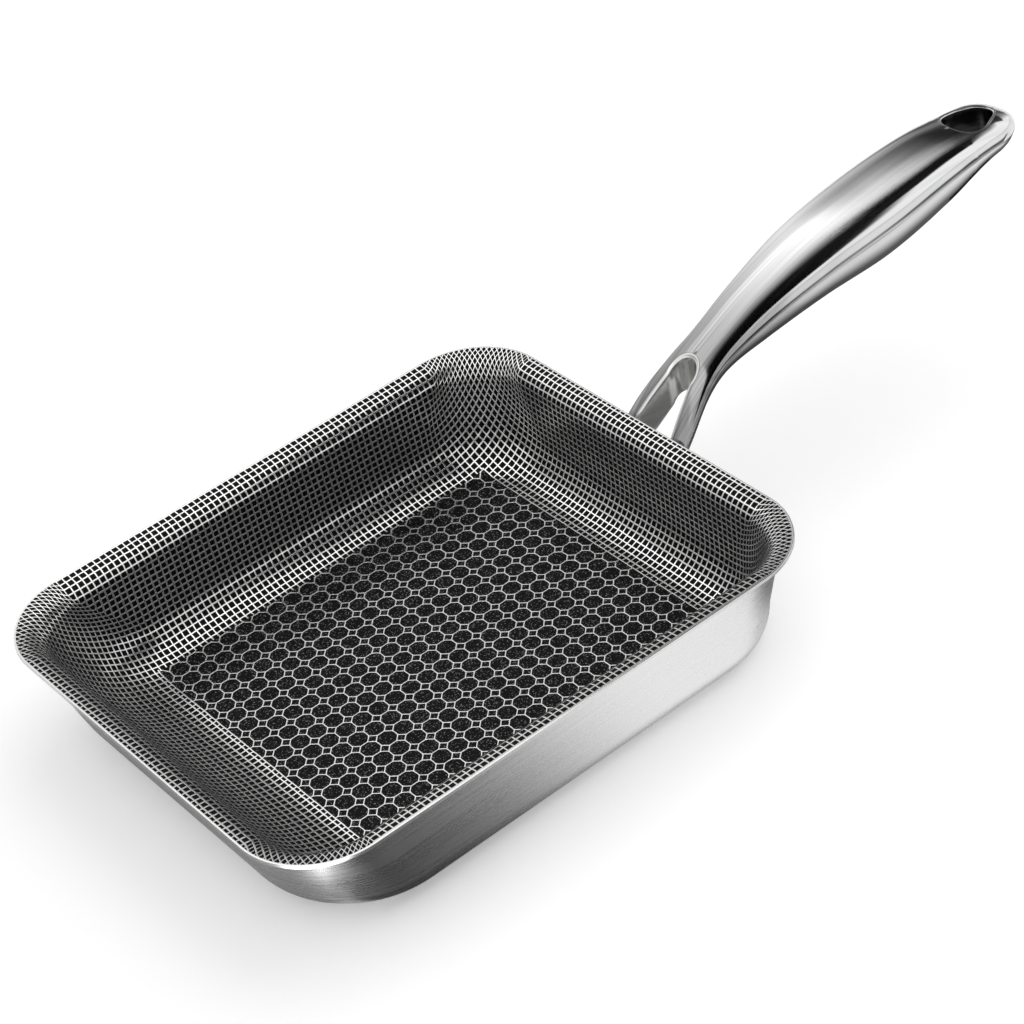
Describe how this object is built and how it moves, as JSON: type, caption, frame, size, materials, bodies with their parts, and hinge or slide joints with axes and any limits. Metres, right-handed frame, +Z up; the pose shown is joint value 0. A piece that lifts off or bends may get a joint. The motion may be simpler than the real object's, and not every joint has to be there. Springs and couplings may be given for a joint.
{
  "type": "tamagoyaki pan",
  "caption": "Rectangular rolled-omelette pan of clad steel with a flared rim, an etched non-stick interior and a long curved hollow steel handle that forks at the wall.",
  "frame": {"origin": "centre of the rim outline, dropped to the plane the base stands on", "axes": "+X runs along the pan towards the handle tip, +Y across the pan to the left seen from above with the handle pointing ahead, +Z up"},
  "size_m": [0.3623, 0.1676, 0.0774],
  "materials": {
    "satin_steel": "brushed",
    "polished_steel": "polished",
    "etched_steel": "etched grid, satin",
    "core_aluminium": "mill",
    "coating": "satin non-stick"
  },
  "bodies": {
    "root": {"outer_ply": "satin_steel", "core_ply": "core_aluminium", "inner_ply": "etched_steel", "nonstick_coating": "coating", "handle_upper_shell": "polished_steel", "handle_lower_shell": "polished_steel", "fork_strap": "polished_steel", "hang_hole_sleeve": "polished_steel", "weld_foot_left": "polished_steel", "weld_foot_right": "polished_steel", "weld_nuggets": "satin_steel"}
  },
  "joints": []
}
